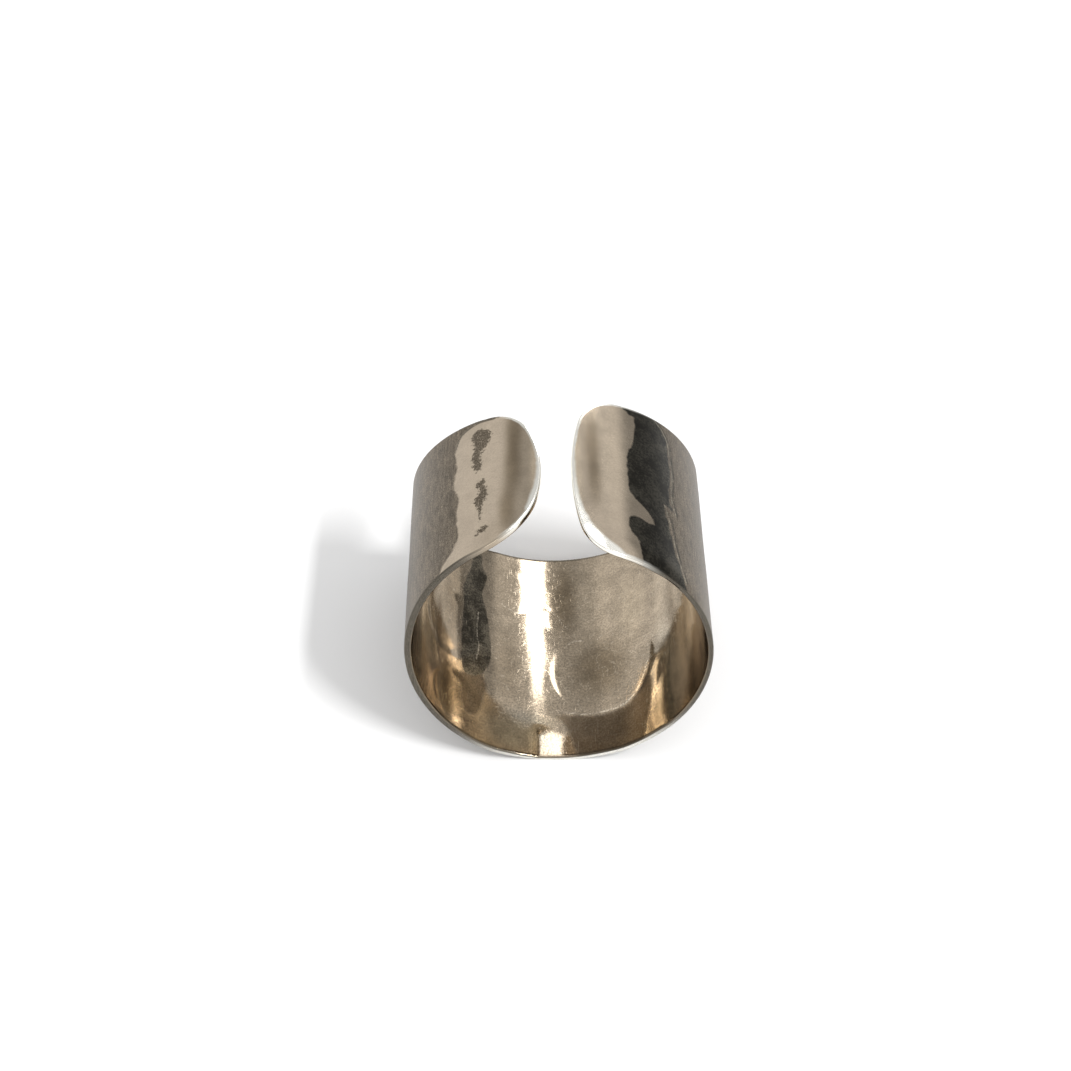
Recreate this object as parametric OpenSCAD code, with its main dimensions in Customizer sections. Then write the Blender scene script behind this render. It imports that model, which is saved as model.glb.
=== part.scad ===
// Open cuff ring: one tapered strip of hammered sheet metal, bent round until its two
// rounded ends almost meet. It lies on its round wall with the gap on top, as it does
// when it is put down. Z is up and Y runs along the finger, away from the viewer. The
// origin is on the table, under the middle of the band.

/* [Finger bore] */
// Diameter of the bore for the finger
bore_d = 19; // [17:0.5:22]
// Thickness of the sheet
wall = 0.5; // [0.4:0.05:1]
// Width of the shallow flat that it lies on, left by the hammer along the outside
rest_w = 2; // [1:0.1:3]

/* [Width of the strip] */
// Width where it lies on the table, opposite the gap
back_w = 17.6; // [14:0.2:20]
// Width that the left end tapers to
left_end_w = 10.8; // [9.8:0.2:13]
// Width that the right end tapers to
right_end_w = 12.8; // [9.8:0.2:13]

/* [Rounded ends] */
// Gap between the tips of the two ends
gap = 1.9; // [1:0.1:4]
// How far the middle of the gap lies to the left
gap_shift = 0.15; // [0:0.05:0.4]
// Radius of the bulge along the left tip
left_tip_r = 9; // [8:0.5:16]
// Radius of the left end's corner nearer the viewer
left_front_r = 4.7; // [2:0.1:4.8]
// Radius of the left end's corner farther from the viewer
left_rear_r = 3.2; // [2:0.1:4.8]
// Radius of the bulge along the right tip
right_tip_r = 18; // [10:1:30]
// Radius of the right end's corner nearer the viewer
right_front_r = 2.7; // [2:0.1:4.8]
// Radius of the right end's corner farther from the viewer
right_rear_r = 3; // [2:0.1:4.8]

/* [Hammer marks] */
// Depth of the deepest mark inside the band
mark_depth = 0.08; // [0.03:0.01:0.12]
// Radius of the round face of the hammer
hammer_r = 7.6; // [6.5:0.1:7.8]

/* [Hidden] */

bore_r = bore_d / 2;
outer_r = bore_r + wall;
// height of the bore's axis above the table, with the flat on the table
axis_z = sqrt(outer_r * outer_r - rest_w * rest_w / 4);
// how far each cutting shape runs past the metal it cuts
over = 1;
// up to this height the strip keeps its full width, and its taper starts there
taper_from = 2 * wall;
// the circle of a corner ends this little outside the edge and the tip, which leaves no step
blend = 0.03;

// Marks inside the band: degrees round from the gap towards the right, place across the
// strip as a share of half its width at the back, and depth as a share of mark_depth
marks = [
    [118, 0.42, 0.7],
    [127, -0.30, 0.9],
    [141, 0.12, 1.0],
    [146, 0.66, 0.8],
    [152, -0.62, 1.0],
    [166, 0.38, 0.8],
    [171, -0.22, 0.6],
    [187, 0.70, 0.7],
    [194, 0.05, 0.9],
    [203, -0.55, 0.8],
    [216, 0.40, 1.0],
    [227, -0.12, 0.7],
    [240, 0.62, 0.8]
];

// half the width of the strip at a distance x from the middle, seen from above
function half_w(end_w, x) =
    end_w / 2 + (back_w - end_w) / 2
        * (outer_r - sqrt(outer_r * outer_r - x * x)) / (axis_z + outer_r - taper_from);

// bent sheet, a plain tube before its edges are cut
module sheet() {
    translate([0, 0, axis_z])
        rotate([-90, 0, 0])
            difference() {
                cylinder(h = back_w, r = outer_r, center = true, $fn = 180);
                cylinder(h = back_w + 2 * over, r = bore_r, center = true, $fn = 180);
            }
}

// what the taper takes off both edges of one half, side -1 for the left and 1 for the right
module taper(end_w, side) {
    top = axis_z + outer_r;
    lean = (back_w - end_w) / 2 / (top - taper_from);
    for (edge = [-1, 1])
        mirror([side < 0 ? 1 : 0, 0, 0])
            rotate([90, 0, 90])
                linear_extrude(height = outer_r + over)
                    polygon([
                        [edge * (back_w / 2 + lean * over), taper_from - over],
                        [edge * (end_w / 2 - lean * over), top + over],
                        [edge * (back_w / 2 + over), top + over],
                        [edge * (back_w / 2 + over), taper_from - over]
                    ]);
}

// what rounds one corner of the right end, seen from above, edge -1 for the front
module corner(tip, tip_r, r, end_w, edge) {
    mid_y = half_w(end_w, tip + r) - r + blend;
    run = sqrt(pow(tip_r - r + blend, 2) - mid_y * mid_y);
    mid_x = tip + tip_r - run;
    slope = atan2(mid_y, run);
    far = outer_r + over;
    translate([mid_x, edge * mid_y, axis_z])
        difference() {
            linear_extrude(height = far)
                polygon([
                    [0, 0],
                    [-mid_x, edge * mid_x * tan(slope)],
                    [-mid_x, edge * far],
                    [0, edge * far]
                ]);
            translate([0, 0, -over])
                cylinder(h = far + 2 * over, r = r, $fn = 96);
        }
}

// what is cut away at the gap beyond one tip, drawn for the right end, to this depth
module beyond_tip(tip, tip_r, depth) {
    difference() {
        translate([-tip / 2, -back_w / 2, axis_z])
            cube([1.5 * tip + depth, back_w, outer_r + over]);
        translate([tip + tip_r, 0, axis_z - over])
            cylinder(h = outer_r + 3 * over, r = tip_r, $fn = 180);
    }
}

// everything that is cut to shape one end, side -1 for the left and 1 for the right
module end_cut(side, end_w, tip, tip_r, front_r, rear_r) {
    taper(end_w, side);
    mirror([side < 0 ? 1 : 0, 0, 0]) {
        beyond_tip(tip, tip_r, min(front_r, rear_r) - 2 * blend);
        corner(tip, tip_r, front_r, end_w, -1);
        corner(tip, tip_r, rear_r, end_w, 1);
    }
}

// one blow of a round-faced hammer on the inside of the sheet
module hammer_blow(mark) {
    reach = bore_r + mark_depth * mark[2] - hammer_r;
    translate([
        reach * sin(mark[0]),
        mark[1] * back_w / 2,
        axis_z + reach * cos(mark[0])
    ])
        sphere(r = hammer_r, $fn = 120);
}

// the table's level, which cuts the flat along the lowest line of the outside
module table_cut() {
    translate([-outer_r / 2, -back_w / 2 - over, -over])
        cube([outer_r, back_w + 2 * over, over]);
}

module band() {
    color("silver")
        difference() {
            sheet();
            table_cut();
            end_cut(-1, left_end_w, gap / 2 + gap_shift, left_tip_r, left_front_r, left_rear_r);
            end_cut(1, right_end_w, gap / 2 - gap_shift, right_tip_r, right_front_r, right_rear_r);
            for (mark = marks)
                hammer_blow(mark);
        }
}

band();
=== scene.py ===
import bpy
import numpy as np
from mathutils import Matrix, Vector


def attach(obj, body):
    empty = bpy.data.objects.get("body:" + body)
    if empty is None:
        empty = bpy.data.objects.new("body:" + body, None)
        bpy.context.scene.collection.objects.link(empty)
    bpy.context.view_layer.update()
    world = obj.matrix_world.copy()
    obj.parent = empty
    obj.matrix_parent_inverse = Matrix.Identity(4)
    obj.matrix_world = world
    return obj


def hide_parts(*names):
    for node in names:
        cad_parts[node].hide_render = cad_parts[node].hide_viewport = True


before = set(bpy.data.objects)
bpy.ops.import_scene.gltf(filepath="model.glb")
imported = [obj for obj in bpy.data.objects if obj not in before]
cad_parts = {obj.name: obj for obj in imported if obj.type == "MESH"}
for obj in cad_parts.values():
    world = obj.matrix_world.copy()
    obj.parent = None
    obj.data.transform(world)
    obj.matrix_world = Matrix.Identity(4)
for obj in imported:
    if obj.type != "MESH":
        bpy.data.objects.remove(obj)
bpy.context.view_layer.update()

mm = 0.001
scene = bpy.context.scene

# Sizes of the strip in millimetres, the same as in the part's source
cuff = {
    "outerRadius": 10.0,
    "wall": 0.5,
    "restWidth": 2.0,            # of the shallow flat that it lies on
    "backWidth": 17.6,           # across the strip where it lies on the table
    "taperFrom": 1.0,            # height at which the strip starts to narrow
    # each end: width it tapers to, distance of its tip from the middle, bulge of the tip,
    # corner radius nearer the viewer, corner radius farther away
    "leftEnd": (10.8, 1.10, 9.0, 4.7, 3.2),
    "rightEnd": (12.8, 0.80, 18.0, 2.7, 3.0),
    "edgeRound": 0.14,           # radius of the worn edges
    "stepsAlong": 400,           # points of the mesh from end to end
    "stepsAcross": 106,          # and from side to side
    "stepsRound": 4,             # and over each half of the rounded edge
}
# height of the bore's axis above the table, length of strip from its lowest line to the
# middle of the gap, and width of the bore
axisHeight = np.sqrt(cuff["outerRadius"] ** 2 - (cuff["restWidth"] / 2) ** 2)
halfTurn = np.pi * cuff["outerRadius"]
bore = 2 * (cuff["outerRadius"] - cuff["wall"])


def heightOf(t):
    # height above the table of the outside at the distance t along the strip from its
    # lowest line: axis height minus radius times the cosine of t over the radius
    return axisHeight - cuff["outerRadius"] * np.cos(t / cuff["outerRadius"])


def halfWidth(t, endWidth):
    # half the width of the strip at t: half the back width, changing to half the end's
    # width by the share of the height that the strip has risen since the taper starts
    top = axisHeight + cuff["outerRadius"]
    risen = np.clip((heightOf(t) - cuff["taperFrom"]) / (top - cuff["taperFrom"]), 0, 1)
    return cuff["backWidth"] / 2 + (endWidth - cuff["backWidth"]) / 2 * risen


def arcPoints(centreX, centreY, radius, fromAngle, toAngle, count=160):
    # points on an arc seen from above: the centre plus the radius times the cosine and the
    # sine of evenly spaced angles, in radians
    turn = np.linspace(fromAngle, toAngle, count)
    return np.column_stack([centreX + radius * np.cos(turn), centreY + radius * np.sin(turn)])


def endOutline(end):
    # the right end's outline from front to rear, seen from above: a corner arc, the bulge
    # of the tip and the other corner arc. A corner's centre lies its radius inside the
    # strip's side, and the bulge's radius less its own from the bulge's centre, so that the
    # arcs meet at one tangent.
    endWidth, tip, tipRadius, frontRadius, rearRadius = end
    corners = []
    for radius in (frontRadius, rearRadius):
        cornerT = halfTurn - cuff["outerRadius"] * np.arcsin((tip + radius) / cuff["outerRadius"])
        midY = halfWidth(cornerT, endWidth) - radius
        run = np.sqrt((tipRadius - radius) ** 2 - midY ** 2)
        corners.append((tip + tipRadius - run, midY, radius, np.arctan2(midY, run)))
    (frontX, frontY, frontR, frontSlope), (rearX, rearY, rearR, rearSlope) = corners
    front = arcPoints(frontX, -frontY, frontR, 1.5 * np.pi, np.pi + frontSlope)
    nose = arcPoints(tip + tipRadius, 0, tipRadius, np.pi + frontSlope, np.pi - rearSlope)
    rear = arcPoints(rearX, rearY, rearR, np.pi - rearSlope, 0.5 * np.pi)
    return front, nose[1:-1], rear


def toStrip(points, side):
    # from places seen from above to the flat strip: t is half a turn less the radius times
    # the arcsine of x over the radius, with the sign of its side
    arc = cuff["outerRadius"] * np.arcsin(points[:, 0] / cuff["outerRadius"])
    return np.column_stack([side * (halfTurn - arc), points[:, 1]])


def longSide(fromT, toT, side, count=3000):
    # one long side of the flat strip between two corners: half the width at every t
    t = np.linspace(fromT, toT, count)[1:-1]
    width = np.where(t < 0, halfWidth(t, cuff["leftEnd"][0]), halfWidth(t, cuff["rightEnd"][0]))
    return np.column_stack([t, side * width])


def stripOutline():
    # the closed outline of the flat strip as (t, y), run by run, and the four places where
    # its sides change over, each in the middle of a corner arc
    rightFront, rightNose, rightRear = [toStrip(run, 1) for run in endOutline(cuff["rightEnd"])]
    leftFront, leftNose, leftRear = [toStrip(run, -1) for run in endOutline(cuff["leftEnd"])]
    frontEdge = longSide(leftFront[0, 0], rightFront[0, 0], -1)
    rearEdge = longSide(rightRear[-1, 0], leftRear[-1, 0], 1)
    runs = [leftFront[::-1], frontEdge, rightFront, rightNose, rightRear,
            rearEdge, leftRear[::-1], leftNose[::-1]]
    starts = np.concatenate([[0], np.cumsum([len(run) for run in runs])])
    half = len(leftFront) // 2
    return np.vstack(runs), [starts[k] + half for k in (0, 2, 4, 6)]


def evenLoop(loop, marks):
    # the same outline at even steps, each point the mean of its neighbours weighted by a
    # bell, started at the first mark, and the marks as shares of its length
    step = 0.03                  # mm between points
    bell, reach = 5.0, 12        # width and reach of the bell, in steps
    loop = np.roll(loop, -marks[0], axis=0)
    closed = np.vstack([loop, loop[:1]])
    run = np.concatenate([[0], np.cumsum(np.hypot(*np.diff(closed, axis=0).T))])
    count = int(run[-1] / step)
    at = np.arange(count) * run[-1] / count
    even = np.column_stack([np.interp(at, run, column) for column in closed.T])
    shifts = np.arange(-reach, reach + 1)
    weights = np.exp(-(shifts / bell) ** 2)
    weights = weights / weights.sum()
    even = sum(w * np.roll(even, int(shift), axis=0) for w, shift in zip(weights, shifts))
    return even, [run[mark - marks[0]] / run[-1] for mark in marks] + [1.0]


def past(x, start, over):
    # 0 up to the start, then eased over a distance up to 1: three times the square of the
    # share of that distance, less twice its cube
    share = np.clip((x - start) / over, 0, 1)
    return share * share * (3 - 2 * share)


# Form of the two faces: marks of the hammer, soft waves and worn lobes
hammer = {
    # marks inside the band: distance along the strip from its lowest line, place across it,
    # radius and depth in mm, how much of the mark is a flat plate with a rim, width of that
    # rim as a share of the radius, and how much deeper the mark is in front
    "marks": [
        (3.8, -1.6, 4.3, 0.030, 1.0, 0.12, 0.8),
        (-4.3, 5.2, 2.6, 0.035, 0.5, 0.28, 0.0),
        (-4.4, -2.6, 2.1, 0.030, 0.5, 0.40, 0.0),
        (1.9, 4.9, 2.6, 0.014, 0.5, 0.28, 0.0),
        (-9.2, 0.2, 3.1, 0.060, 0.8, 0.28, 0.0),
        (7.7, 4.0, 3.0, 0.040, 0.5, 0.28, 0.0),
        (0.25, 3.1, 1.15, 0.022, 0.8, 0.35, 0.0),
        (9.9, -4.3, 2.5, 0.050, 0.7, 0.28, 0.0),
        (-8.6, -5.8, 2.3, 0.050, 0.7, 0.28, 0.0),
        (-0.5, -11.3, 5.0, 0.125, 1.0, 0.55, 0.0),
        (16.2, -6.4, 9.0, 0.095, 0.95, 0.19, 1.0),
        (13.6, 1.4, 3.2, 0.050, 0.5, 0.28, 0.0),
        (-14.0, 2.6, 3.2, 0.050, 0.5, 0.28, 0.0),
        (17.8, -2.2, 3.0, 0.050, 0.5, 0.28, 0.0),
        (-18.4, -2.4, 3.0, 0.050, 0.5, 0.28, 0.0),
        (23.0, 1.5, 3.0, 0.050, 0.5, 0.28, 0.0),
        (-23.5, 1.8, 2.8, 0.050, 0.5, 0.28, 0.0),
    ],
    # sharp lines that the hammer left inside, as places on the strip in mm
    "creases": {
        "bigMarkLow": [(8.2, -2.2), (7.3, -2.5), (6.9, -3.4), (6.3, -4.4), (5.3, -5.2), (3.9, -5.45),
                       (2.2, -5.5), (0.7, -5.15)],
        "nick": [(1.0, 0.75), (1.5, 1.0), (2.1, 0.95)],
        "bandHair": [(-6.25, 2.4), (-6.35, 0.7), (-6.15, -0.7), (-6.35, -1.9)],
        "leftHairLow": [(-10.9, 0.2), (-10.7, -2.0), (-10.2, -4.0)],
        "branch": [(-0.8, 4.1), (-0.2, 3.7), (0.3, 3.25), (0.55, 2.6), (1.1, 2.1)],
        "leftHair": [(-4.2, 3.9), (-3.3, 3.5), (-2.5, 3.35)],
    },
    "creaseHeight": 0.010,       # mm
    "creaseWidth": 0.16,         # mm to each side
    # soft waves inside and outside: their height in mm, then of the wave along the strip and
    # of the one across it the radians per mm along, per mm across, and its start
    "wavesInside": (0.010, (0.9, 0.4, 0.0), (-0.3, 0.75, 1.0)),
    "wavesOutside": (0.010, (0.55, 0.3, 0.7), (-0.2, 0.6, 0.0)),
    # a small flat at the front edge: its right, left and rear border, the width of its ledge
    # at the left and at the rear, all in mm, and how level it is
    "frontFlat": (0.0, -1.35, -6.2, 0.5, 1.0, 0.67),
    # how far the left and the right lobe round down to their front edge, mm
    "lobeDrop": (0.03, 0.17),
    "dropReach": 1.2,            # mm in from the edge where the lobes start to round down
    "dropLobe": (19.0, 5.0),     # mm along the strip where that begins, and over how far
    "dropRear": (-4.5, 4.0),     # mm across the strip where it fades, and over how far
}


def crossedWaves(t, y, waves):
    # height times the sine of a wave along the strip times the cosine of one across it
    height, along, across = waves
    return (height * np.sin(along[0] * t + along[1] * y + along[2])
            * np.cos(across[0] * t + across[1] * y + across[2]))


def markDepth(t, y, mark):
    # one mark of the hammer: a blend of a flat plate with a narrow sloping rim and a soft
    # bowl, which is one minus the squared distance over the radius, squared
    markT, markY, radius, depth, plateShare, rimShare, lean = mark
    apart = np.hypot(t - markT, y - markY) / radius
    bowl = np.clip(1 - apart ** 2, 0, None) ** 2
    plate = past(1 - apart, 0, rimShare)
    leaning = depth * (1 - lean * (y - markY) / radius)
    return leaning * (plateShare * plate + (1 - plateShare) * bowl)


def frontFlat(t, y):
    # the small flat at the front edge: the squared distance left of its right border over
    # the bore, times how level it is, within a short ledge at its left and at its rear
    right, left, rear, leftLedge, rearLedge, level = hammer["frontFlat"]
    dug = level * np.clip(right - t, 0, None) ** 2 / bore
    return dug * past(t, left - leftLedge, leftLedge) * past(-y, -rear, rearLedge)


def reliefInside(t, y):
    # how far the inner face lies outwards of a true bore: the deepest mark at each place,
    # soft waves and the flat at the front edge, less a bell-shaped ridge on each crease
    deep = np.max([markDepth(t, y, mark) for mark in hammer["marks"]], axis=0)
    apart = nearestLine(np.column_stack([t, y]), hammer["creases"])
    ridge = hammer["creaseHeight"] * np.exp(-(apart / hammer["creaseWidth"]) ** 2)
    return deep + crossedWaves(t, y, hammer["wavesInside"]) + frontFlat(t, y) - ridge


def reliefOutside(t, y, edge):
    # how far the outer face lies inwards of a true cylinder: soft waves, and the lobes
    # rounded down to their front edge by the square of the share of the reach that is left
    waves = hammer["wavesOutside"]
    near = np.clip(1 - edge / hammer["dropReach"], 0, 1) ** 2
    onLobe = past(np.abs(t), *hammer["dropLobe"])
    inFront = 1 - past(y, *hammer["dropRear"])
    drop = np.where(t < 0, *hammer["lobeDrop"]) * inFront * near * onLobe
    return waves[0] + crossedWaves(t, y, waves) + drop


def rounded(outline, steps=6, closed=True):
    # a smooth line through the chosen points, by the Catmull-Rom cubic
    p = np.array(outline, float)
    before, after = np.roll(p, 1, axis=0), np.roll(p, -1, axis=0)
    beyond = np.roll(p, -2, axis=0)
    if not closed:
        before[0], after[-1], beyond[-1], beyond[-2] = p[0], p[-1], p[-1], p[-1]
    x = (np.arange(steps) / steps)[:, None, None]
    line = 0.5 * (2 * p + (after - before) * x + (2 * before - 5 * p + 4 * after - beyond) * x ** 2
                  + (3 * p - before - 3 * after + beyond) * x ** 3)
    line = line.transpose(1, 0, 2).reshape(-1, 2)
    return line if closed else np.vstack([line[:-steps], p[-1:]])


def distanceTo(place, line, closed=True):
    # distance of each place from a line of points, the least of the distances to its
    # pieces, negative inside a closed line, where a ray to the right crosses it an odd
    # number of times
    tiny = 1e-12
    start = line if closed else line[:-1]
    step = (np.roll(line, -1, axis=0) if closed else line[1:]) - start
    best = np.full(len(place), np.inf)
    inside = np.zeros(len(place), bool)
    for (x, y), (dx, dy) in zip(start, step):
        along = ((place[:, 0] - x) * dx + (place[:, 1] - y) * dy) / (dx * dx + dy * dy + tiny)
        along = np.clip(along, 0, 1)
        apart = np.hypot(place[:, 0] - x - along * dx, place[:, 1] - y - along * dy)
        best = np.minimum(best, apart)
        crosses = (y > place[:, 1]) != (y + dy > place[:, 1])
        share = (place[:, 1] - y) / (dy if abs(dy) > tiny else tiny)
        inside ^= crosses & (place[:, 0] < x + share * dx)
    return np.where(inside, -best, best) if closed else best


def nearestLine(place, lines):
    # distance from the nearest of some open lines
    return np.min([distanceTo(place, rounded(line, closed=False), closed=False)
                   for line in lines.values()], axis=0)


def sampled(values, shares):
    # pairs of values round the closed outline, read at these shares of its length
    closed = np.vstack([values, values[:1]])
    place = np.mod(shares, 1.0) * len(values)
    return np.column_stack([np.interp(place, np.arange(len(closed)), column)
                            for column in closed.T])


def patchBetween(front, right, rear, left):
    # a grid of places between four sides (Coons patch): what the two long sides give, plus
    # what the two short sides give, less what their four corners give
    u = np.linspace(0, 1, len(front))[:, None, None]
    v = np.linspace(0, 1, len(right))[None, :, None]
    fromLong = (1 - v) * front[:, None] + v * rear[:, None]
    fromShort = (1 - u) * left[None] + u * right[None]
    fromCorners = ((1 - u) * (1 - v) * front[0] + u * (1 - v) * front[-1]
                   + (1 - u) * v * rear[0] + u * v * rear[-1])
    return (fromLong + fromShort - fromCorners).reshape(-1, 2)


def edgeRows():
    # the rounded edge from the outer face to the inner one, as two quarter circles: how far
    # each row stands out from the outline, how far it rises from its face, and which face
    soft = cuff["edgeRound"]
    turn = np.linspace(0, np.pi / 2, cuff["stepsRound"] + 1)[1:]
    outer = [(soft * (np.sin(a) - 1), soft * (np.cos(a) - 1), "outer") for a in turn]
    inner = [(out, -rise, "inner") for out, rise, face in outer[::-1]]
    return outer + inner


def bent(place, height):
    # the flat strip bent round: angle = t / outer radius, and radius = middle of the wall
    # plus the height above it, cut level where it meets the table
    angle = place[:, 0] / cuff["outerRadius"]
    radius = cuff["outerRadius"] - cuff["wall"] / 2 + height
    z = np.maximum(axisHeight - radius * np.cos(angle), 0)
    return np.column_stack([radius * np.sin(angle), place[:, 1], z]) * mm


def bandMesh():
    # Outer and inner face are one grid each between the four sides of the flat strip, drawn
    # in by the radius of the edge, and rows of points round the edge join them. Gives the
    # points, the faces, and for each point its place on the strip, its side from 1 outside
    # to -1 inside, and its distance from the strip's edge.
    along, across = cuff["stepsAlong"], cuff["stepsAcross"]
    loop, cuts = evenLoop(*stripOutline())
    tangent = np.roll(loop, -1, axis=0) - np.roll(loop, 1, axis=0)
    tangent /= np.hypot(*tangent.T)[:, None]
    outward = np.column_stack([tangent[:, 1], -tangent[:, 0]])
    inset = loop - outward * cuff["edgeRound"]
    shares = [np.linspace(cuts[k], cuts[k + 1], steps)
              for k, steps in enumerate((along, across, along, across))]
    front, right, rear, left = [sampled(inset, share) for share in shares]
    flat = patchBetween(front, right, rear[::-1], left[::-1])
    flatEdge = -distanceTo(flat, loop[::24])        # every 24th point is near enough
    heights = {"outer": cuff["wall"] / 2 - reliefOutside(*flat.T, flatEdge),
               "inner": reliefInside(*flat.T) - cuff["wall"] / 2}

    index = np.arange(along * across).reshape(along, across)
    ring = np.concatenate([index[:-1, 0], index[-1, :-1], index[:0:-1, -1], index[0, :0:-1]])
    share = np.concatenate([share[:-1] for share in shares])
    rimFlat, rimOutward = sampled(loop, share), sampled(outward, share)
    rows = edgeRows()
    place = np.vstack([flat, flat] + [rimFlat + rimOutward * out for out, rise, face in rows])
    height = np.concatenate([heights["outer"], heights["inner"]]
                            + [heights[face][ring] + rise for out, rise, face in rows])
    side = np.concatenate([np.ones(len(flat)), -np.ones(len(flat)),
                           np.repeat(np.linspace(1, -1, len(rows) + 2)[1:-1], len(ring))])
    edge = np.concatenate([flatEdge, flatEdge, np.zeros(len(rows) * len(ring))])

    size = len(flat)
    a, b = index[:-1, :-1].ravel(), index[1:, :-1].ravel()
    c, d = index[1:, 1:].ravel(), index[:-1, 1:].ravel()
    rings = [ring] + [2 * size + k * len(ring) + np.arange(len(ring)) for k in range(len(rows))]
    rings.append(ring + size)
    rimFaces = [np.column_stack([lower, np.roll(lower, -1), np.roll(upper, -1), upper])
                for lower, upper in zip(rings[:-1], rings[1:])]
    faces = np.vstack([np.column_stack([a, d, c, b]), np.column_stack([a, b, c, d]) + size]
                      + rimFaces)
    return bent(place, height), faces, place, side, edge


def newMesh(name, points, faces):
    # a mesh object from whole arrays of points and four-cornered faces
    mesh = bpy.data.meshes.new(name)
    mesh.vertices.add(len(points))
    mesh.vertices.foreach_set("co", points.ravel())
    mesh.loops.add(faces.size)
    mesh.loops.foreach_set("vertex_index", faces.ravel().astype(np.int32))
    mesh.polygons.add(len(faces))
    mesh.polygons.foreach_set("loop_start", np.arange(0, faces.size, 4, dtype=np.int32))
    mesh.polygons.foreach_set("use_smooth", np.ones(len(faces), bool))
    mesh.update(calc_edges=True)
    mesh.validate()
    piece = bpy.data.objects.new(name, mesh)
    scene.collection.objects.link(piece)
    return piece


points, faces, stripPlace, stripSide, stripEdge = bandMesh()
band = newMesh("hammeredBand", points, faces)
print("band:", len(points), "points,", len(faces), "faces")

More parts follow.
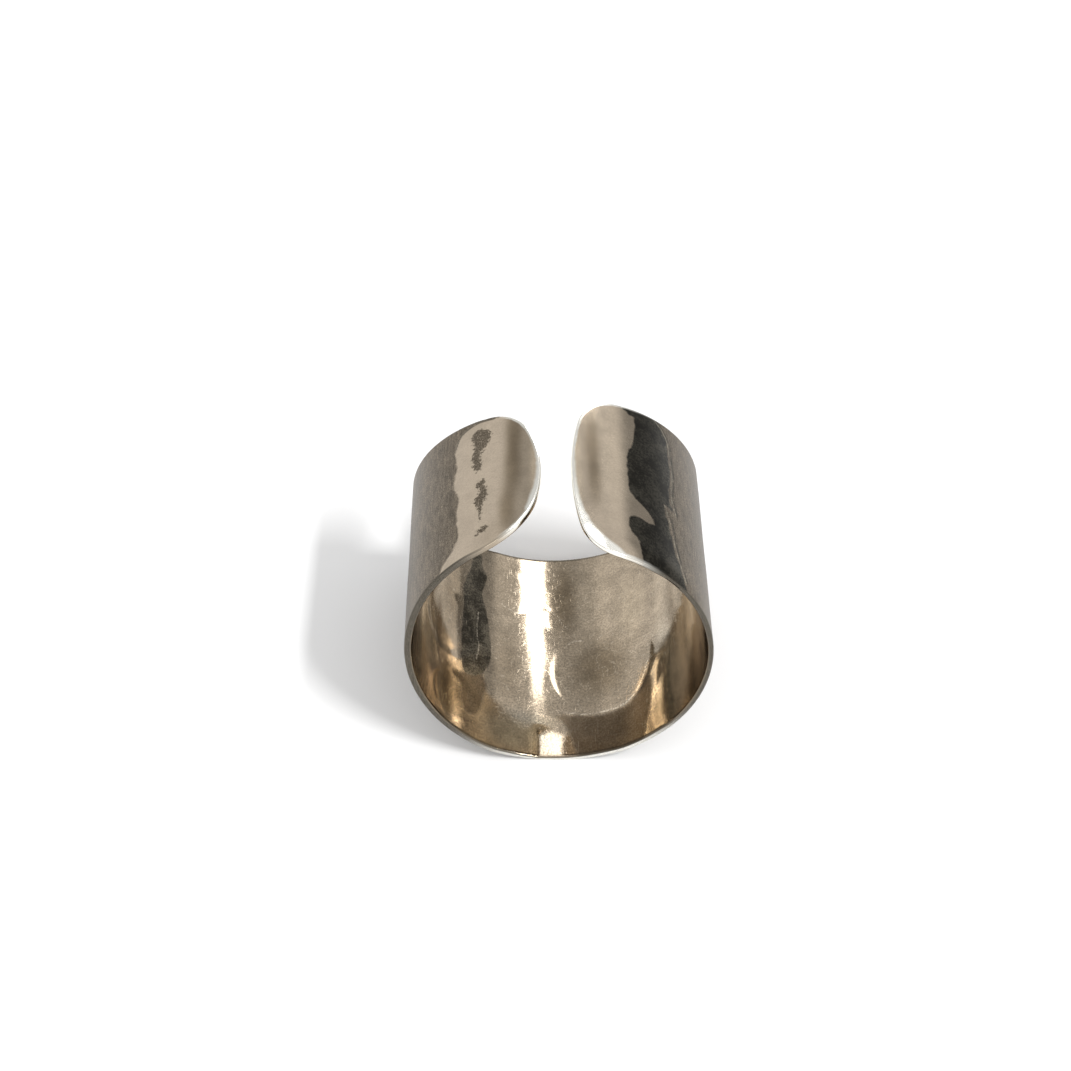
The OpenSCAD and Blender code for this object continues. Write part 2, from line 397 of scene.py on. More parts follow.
# Wear, stains, and painted highlights, reflections and shade of the surface on the flat strip, in
# mm. Outside, the first number of a place is its distance from the middle of the gap, right of it
# positive, and inside it is the distance from the lowest line. The second is the place across the
# strip, away from the viewer.
wearAndPaintedLight = {
    # outlines of the patches
    "patches": {
        # a painted dark reflection on the right lobe, partly tarnish
        "charcoalOutside": [
            (4.3, 6.9), (4.85, 5.9), (5.35, 5.8), (5.4, 5.0), (5.25, 4.2), (5.1, 3.3), (4.7, 2.4),
            (4.55, 1.5), (4.6, 0.2), (4.6, -0.7), (4.95, -1.4), (5.65, -1.95), (6.2, -2.5),
            (6.4, -3.1), (5.7, -3.15), (5.0, -3.0), (4.6, -3.2), (4.45, -3.9), (4.75, -4.6),
            (5.15, -5.0), (5.25, -5.6), (5.4, -6.2), (6.0, -7.2), (9.2, -7.4), (8.9, -6.1),
            (8.25, -4.7), (7.9, -3.4), (7.7, -2.2), (7.5, -1.7), (7.45, -0.75), (8.4, -1.0),
            (8.05, -0.4), (8.0, 0.5), (8.3, 2.2), (8.2, 3.7), (8.2, 5.1), (7.75, 6.0), (7.1, 6.9)],
        # the satin sides: a rougher finish, their darker tone partly a painted dark reflection
        "satinRight": [
            (6.6, 7.2), (7.3, 6.0), (7.8, 5.1), (7.9, 3.7), (7.9, 2.2), (7.7, 0.5), (7.7, -0.4),
            (7.4, -1.0), (7.3, -1.7), (7.4, -2.3), (7.6, -3.4), (7.9, -4.7), (8.5, -6.1),
            (9.0, -7.6), (14.0, -9.6), (31.0, -9.6), (31.0, 9.6), (14.0, 9.6)],
        "satinLeft": [
            (-3.0, 6.1), (-4.2, 5.35), (-5.4, 5.45), (-6.5, 5.2), (-7.0, 4.7), (-7.3, 3.9),
            (-7.1, 2.5), (-7.3, 0.8), (-6.9, -0.5), (-7.0, -2.2), (-6.8, -3.6), (-7.2, -4.6),
            (-8.2, -5.6), (-9.6, -7.4), (-14.0, -9.6), (-31.0, -9.6), (-31.0, 9.6), (-8.0, 9.6)],
        # a painted dark reflection running along the bore
        "darkBandInside": [
            (-6.9, 8.4), (-6.8, 7.6), (-7.1, 6.0), (-7.7, 4.2), (-7.6, 2.2), (-7.75, -0.1),
            (-7.7, -2.3), (-7.4, -3.4), (-6.5, -3.3), (-5.7, -2.8), (-5.1, -1.4), (-5.2, 0.7),
            (-5.4, 2.1), (-5.6, 3.1), (-5.9, 4.2), (-5.5, 6.0), (-5.9, 6.7), (-6.1, 8.4)],
        # the two patches below are painted warm dark reflections inside the bore
        "brownRightInside": [
            (-0.1, -5.5), (0.7, -5.3), (2.2, -5.6), (3.9, -5.55), (5.3, -5.35), (6.4, -4.5),
            (7.1, -3.4), (7.7, -4.2), (7.6, -5.4), (7.1, -7.2), (6.3, -8.9), (2.8, -8.9),
            (1.5, -8.8), (1.0, -7.4), (0.6, -6.4)],
        "brownLeftInside": [
            (-8.1, -3.7), (-7.0, -3.2), (-5.9, -2.9), (-5.4, -3.7), (-5.6, -4.8), (-5.9, -6.0),
            (-6.4, -6.6), (-7.2, -6.6), (-7.6, -5.8), (-7.7, -4.8)],
        # the two patches below are painted highlights along the lobes' worn edges
        "wornHighlightCorner": [
            (0.7, 2.9), (1.05, 1.8), (1.1, -0.5), (1.3, -2.2), (1.6, -3.3), (2.1, -4.5),
            (2.95, -5.45), (4.2, -6.3), (4.4, -6.8), (2.6, -6.5), (1.2, -5.2), (0.6, -2.5)],
        "wornHighlightTip": [
            (-2.1, 3.9), (-1.85, 3.0), (-1.5, 1.5), (-1.42, 0.0), (-1.6, -1.3), (-1.9, -2.4),
            (-2.15, -3.3), (-1.6, -3.0), (-1.1, -1.5), (-0.9, 0.5), (-1.1, 2.5), (-1.7, 3.9)],
        "spotTop": [(-4.75, 4.55), (-5.5, 4.75), (-5.95, 4.1), (-5.7, 3.2), (-5.9, 2.2), (-5.5, 1.0),
                    (-5.1, 1.4), (-5.15, 2.4), (-4.7, 3.1), (-4.45, 3.9)],
        "spotMiddle": [(-4.9, 0.2), (-5.5, -0.1), (-5.3, -0.9), (-5.7, -1.5), (-5.4, -2.2),
                       (-5.15, -3.3), (-5.0, -2.1), (-4.65, -1.3), (-4.75, -0.5)],
        "spotLow": [(-4.8, -3.8), (-5.4, -4.0), (-5.5, -4.35), (-4.9, -4.3), (-4.6, -4.1)],
    },
    # thin lines beside the patches outside, one set lighter and one darker than the tone there
    "lightLines": {
        "upper": [(7.15, 6.5), (7.85, 6.0), (8.3, 5.1), (8.4, 3.7), (8.47, 2.2), (8.22, 0.5),
                  (8.35, -0.4), (8.6, -1.0)],
        "lower": [(7.5, -0.8), (7.8, -1.75), (7.95, -2.3), (8.1, -3.4), (8.45, -4.7), (9.1, -6.2)],
    },
    "darkLines": {
        "outer": [(7.5, 6.4), (8.1, 5.9), (8.5, 5.1), (8.6, 3.7), (8.67, 2.2), (8.45, 0.5),
                  (8.6, -0.4), (8.8, -1.1)],
        "outerLow": [(8.0, -1.7), (8.15, -2.3), (8.3, -3.4), (8.65, -4.7), (9.3, -6.2)],
        "leftTop": [(-2.6, 5.65), (-3.4, 5.5), (-4.2, 5.3), (-5.4, 5.4), (-6.5, 5.15), (-7.0, 4.7),
                    (-7.25, 4.0)],
    },
    # stains and painted reflections: middle of each, reach along and across, strength, and tint
    "stainsAndReflectionsInside": [
        (0.7, 4.8, 1.1, 3.6, 0.90, "olive"), (3.3, 4.5, 1.4, 3.5, 0.25, "bright"),
        (3.4, -1.7, 2.3, 2.6, 0.95, "olive"), (6.1, 2.6, 1.2, 3.0, 0.45, "bright"),
        (-4.0, 5.6, 1.3, 3.0, 0.22, "olive"), (-3.9, -1.6, 1.3, 3.2, 0.50, "olive"),
        (-8.9, 3.2, 1.5, 5.5, 0.90, "olive"), (-11.4, 2.6, 0.8, 2.8, 0.50, "brown"),
        (-10.2, -0.6, 0.35, 2.4, 0.75, "brown"), (-9.0, -5.6, 1.5, 2.8, 1.00, "gold"),
        (-9.0, -5.2, 1.2, 2.2, 0.75, "olive"), (-2.9, -6.4, 2.2, 1.4, 0.45, "olive"),
        (-4.4, -8.0, 2.0, 1.2, 0.15, "gold"), (11.6, -5.5, 2.0, 3.0, 0.35, "gold"),
        (6.9, -4.6, 0.45, 1.8, 0.50, "olive"), (7.4, -7.9, 1.2, 1.4, 0.60, "olive"),
        (10.2, 0.2, 0.4, 3.5, 0.25, "brown"), (-7.7, -7.0, 0.3, 1.3, 0.80, "bright"),
        (8.4, -5.8, 1.1, 3.4, 0.80, "gold"), (-6.7, -4.8, 1.5, 2.0, 1.40, "bright"),
        (-3.2, -7.0, 2.3, 1.6, 1.00, "cool"), (9.2, -4.5, 1.6, 4.0, 0.50, "cool"),
        (14.5, -1.0, 3.5, 5.0, 1.30, "bright"), (-14.0, 0.5, 3.0, 6.0, 1.75, "bright"),
        (-3.3, -7.7, 1.9, 1.2, 0.25, "bright"), (-12.3, -3.2, 1.2, 2.6, 0.40, "bright"),
        (-0.9, -6.1, 1.0, 0.9, 1.00, "bright"), (-1.75, -7.8, 0.35, 1.1, 1.20, "bright"),
    ],
    "stainsAndReflectionsOutside": [
        (-2.85, 3.8, 0.60, 2.5, 0.95, "olive"), (-2.95, 0.4, 0.60, 2.6, 0.95, "olive"),
        (-3.3, -3.0, 0.60, 2.0, 0.95, "olive"), (-1.9, 0.0, 0.9, 5.0, 0.30, "olive"),
        (-1.45, 0.3, 0.35, 4.0, 0.90, "bright"), (1.1, 0.5, 0.40, 4.0, 0.60, "bright"),
        (2.2, 2.2, 0.50, 2.9, 0.85, "olive"), (2.3, -0.9, 0.45, 2.0, 0.70, "olive"),
        (1.2, 0.5, 0.7, 4.0, 0.15, "dull"), (-4.3, -4.6, 0.8, 0.9, 0.25, "olive"),
        (3.7, 1.0, 0.8, 5.0, 0.22, "bright"), (13.0, 0.0, 5.0, 9.0, 0.30, "dull"),
        (15.2, 0.0, 2.4, 12.0, 0.50, "dull"), (-15.2, 0.0, 2.4, 12.0, 0.50, "dull"),
    ],
    # a tint is the share of red, green and blue that a full stain leaves. The bright and cool tints
    # lift the tone as painted highlights and reflections; olive, gold, brown and dull darken it as
    # tarnish and as painted dark and warm reflections
    "tints": {
        "dull": (0.5, 0.5, 0.5), "olive": (0.50, 0.47, 0.42), "gold": (0.60, 0.57, 0.51),
        "brown": (0.35, 0.28, 0.20), "bright": (1.5, 1.5, 1.45), "cool": (1.1, 1.28, 1.5),
    },
    # distance from the lowest line at which the lobes and the painted highlights on their worn edges
    # start, and over how far they grow to full
    "lobes": (24.0, 4.0),
    "wornHighlightLeft": (27.2, 1.6),
    "wornHighlightRight": (24.0, 4.0),
    # the pale line below is a painted highlight on the front rim
    "rimShine": (1.5, 7.0),      # middle and reach of the pale line on the front rim
    "outsideDownTo": -0.2,       # place round the edge, which goes from 1 outside to -1 inside
}
stripT = stripPlace[:, 0]
fromGap = np.column_stack([np.sign(stripT) * halfTurn - stripT, stripPlace[:, 1]])
isOutside = stripSide > wearAndPaintedLight["outsideDownTo"]


def onFace(outer, measure):
    # a distance worked out on one face, and far away on the other
    farAway = 9.0                # mm
    chosen = isOutside if outer else ~isOutside
    distance = np.full(len(stripPlace), farAway)
    distance[chosen] = measure((fromGap if outer else stripPlace)[chosen])
    return distance


def patchEdge(*names):
    # distance from the nearest of these patches, negative inside it
    return np.min([onFace(not name.endswith("Inside"),
                          lambda place: distanceTo(place, rounded(wearAndPaintedLight["patches"][name])))
                   for name in names], axis=0)


def lineEdge(outer, lines):
    # distance from the nearest of these lines of one face
    return onFace(outer, lambda place: nearestLine(place, lines))


def stainAndReflectionTone():
    # share of the tone that the stains and painted reflections leave: 1 where there is none, and
    # towards the tint of each by its strength times e to the minus cube of the distance over its
    # reach
    left = np.ones((len(stripPlace), 3))
    for tintedPlaces, place, chosen in ((wearAndPaintedLight["stainsAndReflectionsInside"], stripPlace, ~isOutside),
                                  (wearAndPaintedLight["stainsAndReflectionsOutside"], fromGap, isOutside)):
        for midT, midY, reachT, reachY, strength, tint in tintedPlaces:
            squared = ((place[:, 0] - midT) / reachT) ** 2 + ((place[:, 1] - midY) / reachY) ** 2
            full = strength * np.exp(-squared ** 1.5) * chosen
            left *= 1 + full[:, None] * (np.array(wearAndPaintedLight["tints"][tint]) - 1)
    return left


def rimShine():
    # a painted highlight along the front rim: e to the minus fourth power of the distance over the
    # reach, on the front rim alone
    middle, reach = wearAndPaintedLight["rimShine"]
    return np.exp(-((stripT - middle) / reach) ** 4) * (stripPlace[:, 1] < 0)


def setValues(piece, name, values):
    # stores one number or three for each point, which the finish reads by name
    kind, part = ("FLOAT_VECTOR", "vector") if values.ndim == 2 else ("FLOAT", "value")
    layer = piece.data.attributes.new(name, kind, "POINT")
    layer.data.foreach_set(part, np.ascontiguousarray(values, dtype=np.float32).ravel())


# the third number of the strip keeps the noises of its two faces apart
setValues(band, "strip", np.column_stack([stripPlace, 40 * stripSide]))
# tints of the stains and of the painted highlights and reflections
setValues(band, "stainAndReflection", stainAndReflectionTone())
setValues(band, "face", stripSide)
setValues(band, "rim", stripEdge)
setValues(band, "rimShine", rimShine())
setValues(band, "onLobe", past(np.abs(stripT), *wearAndPaintedLight["lobes"]))
setValues(band, "nearGap", np.where(stripT < 0, past(-stripT, *wearAndPaintedLight["wornHighlightLeft"]),
                                    past(stripT, *wearAndPaintedLight["wornHighlightRight"])))
# distance from the painted dark reflections, outside and inside
setValues(band, "charcoalEdge", patchEdge("charcoalOutside", "darkBandInside"))
# distance from the painted brown reflections inside
setValues(band, "brownEdge", patchEdge("brownRightInside", "brownLeftInside"))
setValues(band, "spotEdge", patchEdge("spotTop", "spotMiddle", "spotLow"))
setValues(band, "satinEdge", patchEdge("satinLeft", "satinRight"))
setValues(band, "wornHighlightEdge", patchEdge("wornHighlightCorner", "wornHighlightTip"))
setValues(band, "lightLine", lineEdge(True, wearAndPaintedLight["lightLines"]))
setValues(band, "darkLine", lineEdge(True, wearAndPaintedLight["darkLines"]))
setValues(band, "creaseHighlight", lineEdge(False, hammer["creases"]))
print("wear: patches, lines and stains are stored on the band")

# Finish of the silver, with painted highlights, reflections and shade among its tones
finish = {
    # tones as linear red, green and blue
    "polished": (0.50, 0.42, 0.325), "inside": (0.45, 0.37, 0.275),
    # satin: darker than the polish, partly a painted dark reflection
    # the charcoal tone paints the dark reflection outside, partly tarnish
    "satin": (0.174, 0.143, 0.106), "charcoal": (0.036, 0.033, 0.026),
    # brown paints the warm dark reflections inside the bore
    # darkInside paints the dark reflection inside the bore
    "darkInside": (0.092, 0.080, 0.060), "brown": (0.165, 0.128, 0.088),
    "spot": (0.10, 0.080, 0.056), "lightLine": (0.30, 0.27, 0.21),
    # the near-white tone is the painted highlight of the worn edges and of the front rim's line
    "darkLine": (0.05, 0.045, 0.035), "wornHighlight": (0.93, 0.91, 0.84),
    # rim: the rim's face painted dark as shade
    # the last tone on the line below paints a highlight along the hammer's creases, and glints on
    # scratches and hairs
    "rim": (0.10, 0.089, 0.072), "creaseHighlight": (0.80, 0.70, 0.56),
    "roughPolished": 0.15, "roughInside": 0.11, "roughSatin": 0.40, "roughDark": 0.30,
    "roughDrift": 0.10,          # how much the roughness drifts
    # noises on the strip, their scale per mm
    "noises": {
        "ragged": {"scale": 1.6, "detail": 4, "rough": 0.62},
        "spotFray": {"scale": 4.5, "detail": 3, "rough": 0.65, "seed": 21.0},
        "grain": {"scale": 6.5, "detail": 3, "rough": 0.7},
        "fine": {"scale": 13.0, "detail": 2, "rough": 0.6, "seed": 9.0},
        "cloud": {"scale": 0.9, "detail": 4, "rough": 0.6, "seed": 3.0},
        "brushed": {"scale": 6.5, "detail": 4, "rough": 0.75, "seed": 5.0,
                    "stretch": (1.0, 0.15, 1)},
    },
    # thin straight scratches: their stretched noise, and turn in radians and seed of each set
    "stroke": {"scale": 1.5, "detail": 1, "rough": 0.4, "stretch": (13.0, 0.8, 1)},
    "scratches": [(0.8, 2.0), (-0.6, 7.0), (1.5, 12.0)],
    # short curved hairs: the noise that bends them, the noise that keeps some places, and
    # cells per mm, seed, and width as a share of a cell, of each set
    "swirl": {"Scale": 1.3, "Detail": 2.0},
    "hairPlaces": {"scale": 1.7, "detail": 2, "rough": 0.5},
    "hairs": [(0.85, 31.0, 0.03), (1.7, 37.0, 0.04)],
    # where each part of the wear and of the painted light and shade starts and where it is full
    "borders": {
        # by the distance from its outline or line, mm
        "charcoal": (0.07, -0.07), "brown": (0.15, -0.25), "satin": (0.08, -0.14),
        "spot": (0.05, -0.12), "wornHighlightPatch": (0.10, -0.16), "lightLine": (0.075, 0.03),
        "darkLine": (0.15, 0.05), "creaseHighlight": (0.10, 0.03),
        # by the distance from the edge of the strip, mm
        "wornRimHighlight": (0.28, 0.14), "edgeShade": (0.30, 0.14), "edgeShadeEnd": (0.06, 0.12),
        "rim": (0.14, 0.02),
        # by the place round the edge, from 1 outside to -1 inside
        "outside": (-0.5, 0.2), "rimFace": (-0.60, -0.25), "rimLine": (-0.40, -0.12),
        # by the height of a noise, where it keeps only some places
        "scratch": (0.71, 0.79), "hair": (0.52, 0.60), "darkLineKept": (0.35, 0.5),
        "creaseKept": (0.38, 0.55),
    },
    # how far a noise moves the border of each, mm
    "fray": {"charcoal": 0.45, "brown": 0.45, "satin": 0.45, "wornHighlightPatch": 0.18,
             "wornRimHighlight": 0.1575, "edgeShade": 0.135, "spot": 1.1},
    # how well the thin layers cover the tone under them, and the hairs on dark patches
    "cover": {"darkLine": 0.75, "creaseHighlight": 0.7, "scratch": 0.25, "rimShade": 0.6,
              "hair": 0.26, "hairOnDark": 0.07},
    # light and dark specks: from and to in their noise, and the share of the tone there
    "specks": {
        "grain": (0.30, 0.72, 0.72, 1.20), "grainPolished": (0.30, 0.72, 0.93, 1.05),
        "dots": (0.25, 0.50, 0.72, 1.05), "drift": (0.3, 0.7, 0.84, 1.12),
        "driftPolished": (0.3, 0.7, 0.93, 1.05), "streaks": (0.3, 0.7, 0.66, 1.30),
        "dotsSatin": (0.3, 0.7, 0.60, 1.34), "dark": (0.18, 0.36, 0.75, 2.0),
        "rim": (0.35, 0.68, 0.5, 2.1), "spot": (0.32, 0.52, 0.35, 1.0),
    },
    # depth of the fine relief in mm, and the share of it that each part has
    "reliefDepth": 0.0042,
    "relief": {"grain": 0.5, "fine": 0.25, "onPolish": 0.25, "inside": 0.45, "brushed": 0.9,
               "scratch": -0.22},
}


class Board:
    # a small helper that adds and joins the nodes of one material or sky
    def __init__(self, tree):
        self.tree = tree

    def fill(self, socket, value):
        # joins the socket to another node's output, or sets its own value
        if isinstance(value, bpy.types.NodeSocket):
            self.tree.links.new(value, socket)
        else:
            socket.default_value = value

    def add(self, kind, values=None, **settings):
        # a new node with its settings and the values of its inputs
        node = self.tree.nodes.new(kind)
        for name, value in settings.items():
            setattr(node, name, value)
        for name, value in (values or {}).items():
            self.fill(node.inputs[name], value)
        return node

    def stored(self, name, output="Fac"):
        # a value stored on the piece's points
        return self.add("ShaderNodeAttribute", attribute_name=name).outputs[output]

    def math(self, kind, a, b=0.0, c=0.0):
        # one sum of up to three numbers, named by its kind
        return self.add("ShaderNodeMath", {0: a, 1: b, 2: c}, operation=kind).outputs[0]

    def times(self, first, *others):
        # product of several numbers
        for other in others:
            first = self.math("MULTIPLY", first, other)
        return first

    def most(self, first, *others):
        # highest of several numbers
        for other in others:
            first = self.math("MAXIMUM", first, other)
        return first

    def opposite(self, number):
        # one minus the number
        return self.math("SUBTRACT", 1.0, number)

    def moved(self, number, noise, share):
        # the number plus a share of a noise that swings about zero
        return self.math("MULTIPLY_ADD", self.math("SUBTRACT", noise, 0.5), share, number)

    def ramp(self, value, low, high, toLow=0.0, toHigh=1.0):
        # follows the value from low to high with soft ends
        return self.add("ShaderNodeMapRange", {
            "Value": value, "From Min": low, "From Max": high, "To Min": toLow,
            "To Max": toHigh}, interpolation_type="SMOOTHSTEP").outputs[0]

    def noise(self, place, scale, detail, rough, stretch=(1, 1, 1), turn=0.0, seed=0.0):
        # a cloudy noise, stretched and turned, and moved to another place by its seed
        shifted = self.add("ShaderNodeMapping", {
            "Vector": place, "Location": (seed, seed * 0.7, seed * 1.3),
            "Rotation": (0, 0, turn), "Scale": stretch}).outputs[0]
        return self.add("ShaderNodeTexNoise", {
            "Vector": shifted, "Scale": scale, "Detail": detail, "Roughness": rough}).outputs["Fac"]

    def vector(self, kind, a, b):
        # sum or product of two vectors or colours
        return self.add("ShaderNodeVectorMath", {0: a, 1: b}, operation=kind).outputs[0]

    def scaled(self, colour, share):
        # a colour times one number
        return self.add("ShaderNodeVectorMath", {0: colour, "Scale": share},
                        operation="SCALE").outputs[0]

    def blend(self, share, a, b):
        # colour a, giving way to b
        a, b = [(*colour, 1) if isinstance(colour, tuple) else colour for colour in (a, b)]
        return self.add("ShaderNodeMix", {0: share, 6: a, 7: b}, data_type="RGBA").outputs[2]

    def mix(self, share, a, b):
        # number a, giving way to b
        return self.add("ShaderNodeMix", {0: share, 2: a, 3: b}).outputs[0]


def scratchMask(board, strip):
    # thin straight strokes where a long stretched noise is at its highest
    strokes = [board.noise(strip, turn=turn, seed=seed, **finish["stroke"])
               for turn, seed in finish["scratches"]]
    return board.most(*[board.ramp(stroke, *finish["borders"]["scratch"]) for stroke in strokes])


def hairMask(board, strip):
    # short curved lines: edges between random cells, bent by noise and kept in places
    swirl = board.add("ShaderNodeTexNoise", {"Vector": strip, **finish["swirl"]})
    swirled = board.vector("ADD", strip, swirl.outputs["Color"])
    hairs = []
    for scale, seed, width in finish["hairs"]:
        cells = board.add("ShaderNodeTexVoronoi", {"Vector": swirled, "Scale": scale},
                          feature="DISTANCE_TO_EDGE").outputs["Distance"]
        kept = board.noise(strip, seed=seed, **finish["hairPlaces"])
        hairs.append(board.times(board.ramp(cells, width, 0.0),
                                 board.ramp(kept, *finish["borders"]["hair"])))
    return board.most(*hairs)


def wearAndPaintedLightMasks(board, strip, noise):
    # Where each part of the wear and of the painted light and shade shows, from 0 to 1. The distance
    # of a place from an outline, a line or the edge, moved by a noise where the border frays, runs
    # from the first border of the table, where the part starts, to the second, where it is full.
    def border(name, number):
        return board.ramp(number, *finish["borders"][name])

    def frayed(name, number, by="ragged"):
        return border(name, board.moved(number, noise[by], finish["fray"][name]))

    face, edge = board.stored("face"), board.stored("rim")
    mask = {"outside": border("outside", face)}
    mask["inside"] = board.opposite(mask["outside"])
    for name in ("charcoal", "brown", "satin"):
        mask[name] = frayed(name, board.stored(name + "Edge"))
    mask["dark"] = board.most(mask["charcoal"], mask["brown"])
    mask["polish"] = board.times(mask["outside"], board.opposite(mask["satin"]))
    mask["spot"] = board.times(frayed("spot", board.stored("spotEdge"), "spotFray"),
                               board.ramp(noise["fine"], *finish["specks"]["spot"]))
    mask["lightLine"] = border("lightLine", board.stored("lightLine"))
    mask["darkLine"] = board.times(border("darkLine", board.stored("darkLine")),
                                   border("darkLineKept", noise["ragged"]))
    # where the painted highlight lies along the hammer's creases
    mask["creaseHighlight"] = board.times(border("creaseHighlight", board.stored("creaseHighlight")),
                                 border("creaseKept", noise["grain"]))
    mask["scratch"] = board.times(scratchMask(board, strip), mask["inside"])
    mask["hair"] = board.times(hairMask(board, strip), mask["inside"])

    # painted highlights along the worn edges by the gap and on the worn patches
    wornRimHighlight = board.times(frayed("wornRimHighlight", edge), mask["outside"], board.stored("nearGap"))
    mask["wornHighlight"] = board.most(wornRimHighlight, frayed("wornHighlightPatch", board.stored("wornHighlightEdge")))
    rimBand = board.times(border("rim", edge), board.opposite(board.stored("onLobe")))
    mask["rim"] = board.times(rimBand, border("rimFace", face))
    # painted highlight line on the front rim
    mask["rimLine"] = board.times(board.stored("rimShine"), border("rimLine", face))
    # painted shade along the inner face next to the edge, and on the rim's inner half
    edgeShade = board.times(frayed("edgeShade", edge), border("edgeShadeEnd", edge), mask["inside"])
    mask["rimShade"] = board.most(edgeShade, board.times(rimBand, mask["inside"]))
    return mask


def specks(board, noise, mask):
    # share of the tone that the small specks leave: the product of four noises, each within
    # its range of the table, milder on the polish and none under the painted highlights of the worn
    # edges
    def speck(name, kind):
        return board.ramp(noise[kind], *finish["specks"][name])

    grain = board.mix(mask["polish"], speck("grain", "grain"), speck("grainPolished", "grain"))
    dots = board.mix(mask["polish"], speck("dots", "fine"), 1.0)
    drift = board.mix(mask["polish"], speck("drift", "cloud"), speck("driftPolished", "cloud"))
    streaks = board.times(speck("streaks", "brushed"), speck("dotsSatin", "fine"))
    streaks = board.mix(mask["satin"], 1.0, streaks)
    return board.mix(mask["wornHighlight"], board.times(grain, dots, drift, streaks), 1.0)


def silverTone(board, noise, mask):
    # layers of tone, each laid over those before it by its mask and its cover
    def laid(tone, name, colour):
        cover = finish["cover"].get(name, 1.0)
        share = mask[name] if cover == 1.0 else board.times(mask[name], cover)
        return board.blend(share, tone, colour)

    # the painted dark reflections: the charcoal tone outside and darkInside in the bore
    dark = board.blend(mask["outside"], finish["darkInside"], finish["charcoal"])
    dark = board.scaled(dark, board.ramp(board.times(noise["grain"], noise["cloud"]),
                                         *finish["specks"]["dark"]))
    # the rim's face painted dark as shade, with the painted highlight line laid over it
    rim = board.scaled(finish["rim"], board.ramp(noise["grain"], *finish["specks"]["rim"]))
    rim = board.blend(mask["rimLine"], rim, finish["wornHighlight"])

    tone = board.blend(mask["outside"], finish["inside"], finish["polished"])
    for name in ("satin", "brown"):
        tone = laid(tone, name, finish[name])
    tone = laid(tone, "charcoal", dark)
    for name in ("spot", "darkLine", "lightLine"):
        tone = laid(tone, name, finish[name])
    # the stains and the painted highlights and reflections lighten and darken the tone
    tone = board.vector("MULTIPLY", tone, board.stored("stainAndReflection", "Vector"))
    # painted highlight on the creases and painted glints on the scratches and hairs
    for name in ("creaseHighlight", "scratch"):
        tone = laid(tone, name, finish["creaseHighlight"])
    hairCover = board.mix(mask["dark"], finish["cover"]["hair"], finish["cover"]["hairOnDark"])
    tone = board.blend(board.times(mask["hair"], hairCover), tone, finish["creaseHighlight"])
    # painted shade along the inner edge, in the dark line's tone
    tone = laid(tone, "rimShade", finish["darkLine"])
    # painted shade on the rim's face
    tone = laid(tone, "rim", rim)
    # the painted highlights of the worn edges
    tone = laid(tone, "wornHighlight", finish["wornHighlight"])
    return board.scaled(tone, specks(board, noise, mask))


def silverRoughness(board, noise, mask):
    # roughness of the two faces, of the satin and of the dark patches, with a slow drift
    rough = board.mix(mask["outside"], finish["roughInside"], finish["roughPolished"])
    rough = board.mix(mask["satin"], rough, finish["roughSatin"])
    rough = board.mix(board.most(mask["dark"], mask["spot"]), rough, finish["roughDark"])
    return board.moved(rough, noise["cloud"], finish["roughDrift"])


def silverRelief(board, noise, mask):
    # the finest relief as bump: shares of the grain and of the finest noise, milder inside
    # and on the polish, plus the brushed strokes of the satin, less the scratches and hairs
    share = finish["relief"]
    height = board.times(noise["grain"], share["grain"])
    height = board.math("MULTIPLY_ADD", noise["fine"], share["fine"], height)
    mild = board.mix(mask["inside"], 1.0, share["inside"])
    height = board.times(height, board.mix(mask["polish"], mild, share["onPolish"]))
    brushed = board.times(noise["brushed"], mask["satin"])
    height = board.math("MULTIPLY_ADD", brushed, share["brushed"], height)
    strokes = board.math("ADD", mask["scratch"], mask["hair"])
    height = board.math("MULTIPLY_ADD", strokes, share["scratch"], height)
    return board.add("ShaderNodeBump", {"Height": height, "Strength": 1.0,
                                        "Distance": finish["reliefDepth"] * mm}).outputs[0]


def silverFinish():
    # one metal shader: tone, roughness and relief are worked out from the stored values and
    # the noises on the strip
    metal = bpy.data.materials.new("wornSilver")
    metal.use_nodes = True
    board = Board(metal.node_tree)
    shader = metal.node_tree.nodes["Principled BSDF"]
    shader.inputs["Metallic"].default_value = 1.0
    strip = board.stored("strip", "Vector")
    noise = {name: board.noise(strip, **settings) for name, settings in finish["noises"].items()}
    mask = wearAndPaintedLightMasks(board, strip, noise)
    board.fill(shader.inputs["Base Color"], silverTone(board, noise, mask))
    board.fill(shader.inputs["Roughness"], silverRoughness(board, noise, mask))
    board.fill(shader.inputs["Normal"], silverRelief(board, noise, mask))
    return metal


band.data.materials.append(silverFinish())
print("finish: tones, grain and roughness are on the band")

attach(band, "root")
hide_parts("band")

# Camera at the photo's angle, found by fitting a camera to the ring's outline
view = {
    "azimuth": -0.4, "elevation": 49.1,      # degrees
    "distance": 108.2,                       # mm from the eye to the ring's middle
    "aimRight": 1.44, "aimUp": -2.27,        # mm from the view's centre to the ring's middle
    "focalPixels": 1600, "frameWidth": 1071,
}


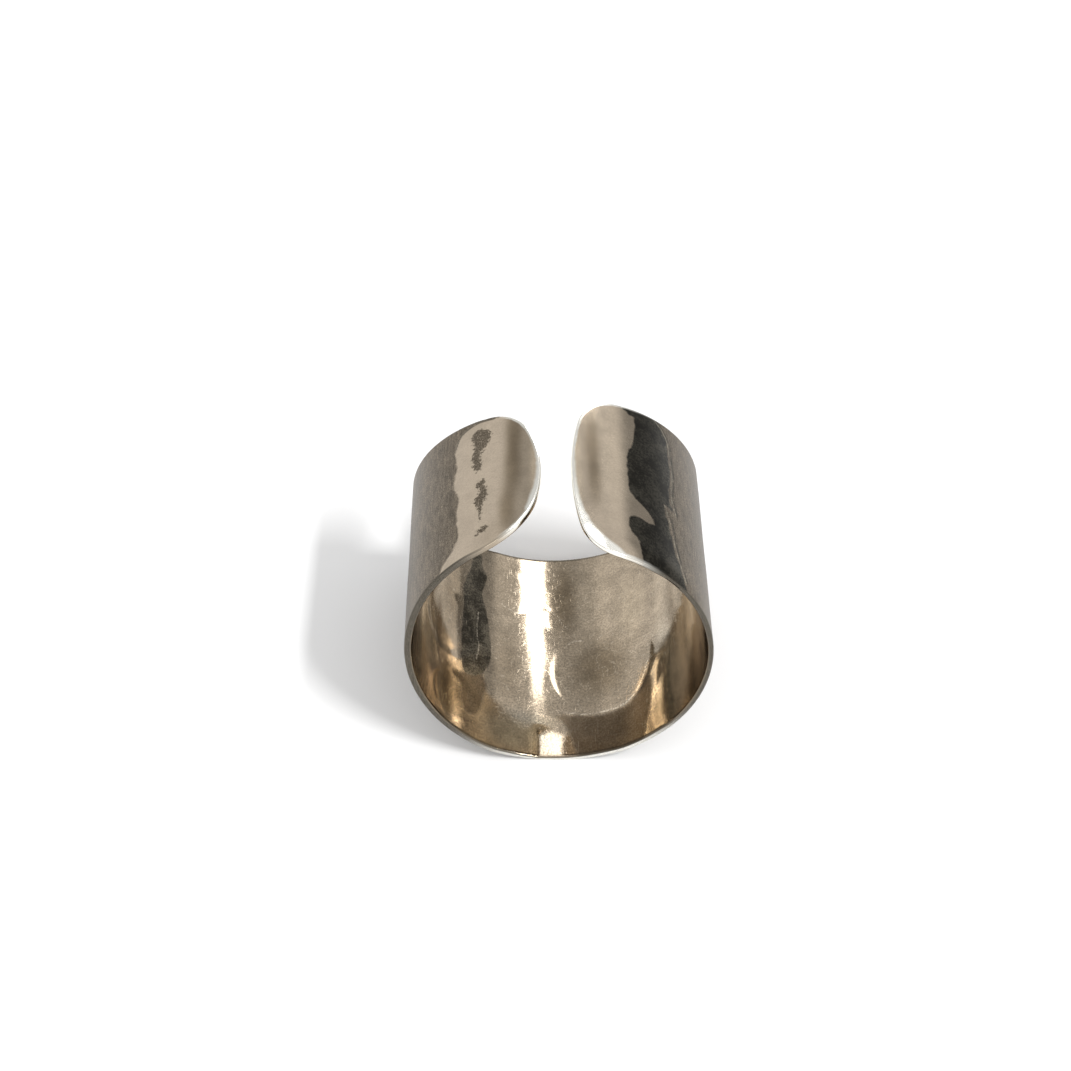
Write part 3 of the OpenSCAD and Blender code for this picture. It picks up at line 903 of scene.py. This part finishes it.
def addCamera():
    # The eye stands the distance away from the ring's middle, back along the line of sight,
    # moved sideways and up by the aim. Focal length = focal pixels / frame width x sensor.
    turn, tilt = np.radians(view["azimuth"]), np.radians(view["elevation"])
    back = Vector((np.sin(turn) * np.cos(tilt), -np.cos(turn) * np.cos(tilt), np.sin(tilt)))
    right = (-back).cross(Vector((0, 0, 1))).normalized()
    up = right.cross(-back)
    middle = Vector((0, 0, axisHeight))
    eye = middle - view["aimRight"] * right - view["aimUp"] * up + view["distance"] * back
    lens = bpy.data.cameras.new("camera")
    lens.sensor_width = 36
    lens.lens = view["focalPixels"] / view["frameWidth"] * lens.sensor_width
    lens.clip_start, lens.clip_end = 0.005, 20
    holder = bpy.data.objects.new("camera", lens)
    holder.matrix_world = Matrix((
        (right.x, up.x, back.x, eye.x * mm), (right.y, up.y, back.y, eye.y * mm),
        (right.z, up.z, back.z, eye.z * mm), (0, 0, 0, 1)))
    scene.collection.objects.link(holder)
    scene.camera = holder


addCamera()
print("camera: stands at the photo's angle")

# Studio: a pale floor, a long soft light in front on the right, a wide faint one in front,
# and small bright sheets behind the ring that only its polish sees
studio = {
    "floorTone": (0.93, 0.93, 0.93),
    "floorReach": 4.0,           # metres from the middle to each side
    "floorRough": 0.9,
    "floorShine": 0.1,
    # each light: name, place in mm, its two widths in mm, brightness beside the sky's 1,
    # whether it lights the floor
    "lights": [
        ("keyLight", (338, -225, 545), (38, 170), 132, True),
        ("frontLight", (0, -560, 300), (300, 200), 1.6, True),
        ("rearSheet", (12.2, 41.6, 40), (14, 9.0), 5.5, False),
        ("middleSheet", (11.0, 35.0, 40), (9.0, 5.0), 5.5, False),
        ("frontSheet", (5.5, 19.4, 25), (3.3, 9.6), 5.0, False),
        ("highSheet", (15, 45, 190), (90, 96), 4.0, False),
    ],
    # the sky behind the ring, by the angle from straight up towards the right, degrees
    "sky": [(-180, 0.93), (-40, 0.93), (-30, 0.65), (-8, 0.60), (30, 0.85), (50, 0.93),
            (58, 0.40), (92, 0.35), (100, 0.93), (180, 0.93)],
    "skyFront": 0.86,            # its one tone towards the viewer
    "skyTurn": (-0.1, 0.3),      # where the one gives way to the other, as y of the direction
}


def addFloor():
    # one square, its corners the reach away from the middle
    reach = studio["floorReach"]
    corners = np.array([(-reach, -reach, 0), (reach, -reach, 0), (reach, reach, 0),
                        (-reach, reach, 0)], float)
    floor = newMesh("floor", corners, np.array([[0, 1, 2, 3]]))
    paint = bpy.data.materials.new("paleFloor")
    paint.use_nodes = True
    coat = paint.node_tree.nodes["Principled BSDF"]
    coat.inputs["Base Color"].default_value = (*studio["floorTone"], 1)
    coat.inputs["Roughness"].default_value = studio["floorRough"]
    coat.inputs["Specular IOR Level"].default_value = studio["floorShine"]
    floor.data.materials.append(paint)


def addAreaLight(name, place, widths, brightness, onFloor):
    # An oblong light that looks at the ring, its second width in the plane of the ring's
    # axis. Its power is brightness times pi times its area.
    lamp = bpy.data.lights.new(name, "AREA")
    lamp.shape = "RECTANGLE"
    lamp.size, lamp.size_y = widths[0] * mm, widths[1] * mm
    lamp.energy = brightness * np.pi * lamp.size * lamp.size_y
    holder = bpy.data.objects.new(name, lamp)
    back = (Vector(place) - Vector((0, 0, axisHeight))).normalized()
    side = Vector((0, 1, 0)).cross(back).normalized()
    up = back.cross(side)
    holder.matrix_world = Matrix((
        (side.x, up.x, back.x, place[0] * mm), (side.y, up.y, back.y, place[1] * mm),
        (side.z, up.z, back.z, place[2] * mm), (0, 0, 0, 1)))
    holder.visible_diffuse = onFloor
    holder.visible_camera = False
    scene.collection.objects.link(holder)


def addSky():
    # Grey tones round the viewer's line of sight: angle from straight up = arctangent of
    # x over z, looked up in the table above, which fades to one tone towards the viewer
    sky = bpy.data.worlds.new("studio")
    sky.use_nodes = True
    board = Board(sky.node_tree)
    away = board.add("ShaderNodeTexCoord").outputs["Generated"]
    part = board.add("ShaderNodeSeparateXYZ", {0: away}).outputs
    angle = board.math("ARCTAN2", part["X"], part["Z"])
    ramp = board.add("ShaderNodeValToRGB", {
        "Fac": board.math("MULTIPLY_ADD", angle, 0.5 / np.pi, 0.5)})
    marks = ramp.color_ramp.elements
    for degrees, level in studio["sky"][1:-1]:
        marks.new((degrees + 180) / 360)
    for mark, (degrees, level) in zip(marks, studio["sky"]):
        mark.position = (degrees + 180) / 360
        mark.color = (level, level, level, 1)
    behind = board.ramp(part["Y"], *studio["skyTurn"])
    tone = board.blend(behind, (studio["skyFront"],) * 3, ramp.outputs[0])
    board.fill(sky.node_tree.nodes["Background"].inputs["Color"], tone)
    scene.world = sky


addFloor()
for light in studio["lights"]:
    addAreaLight(*light)
addSky()
scene.view_settings.view_transform = "Standard"
scene.view_settings.look = "None"
print("studio: floor, lights and sky are set")
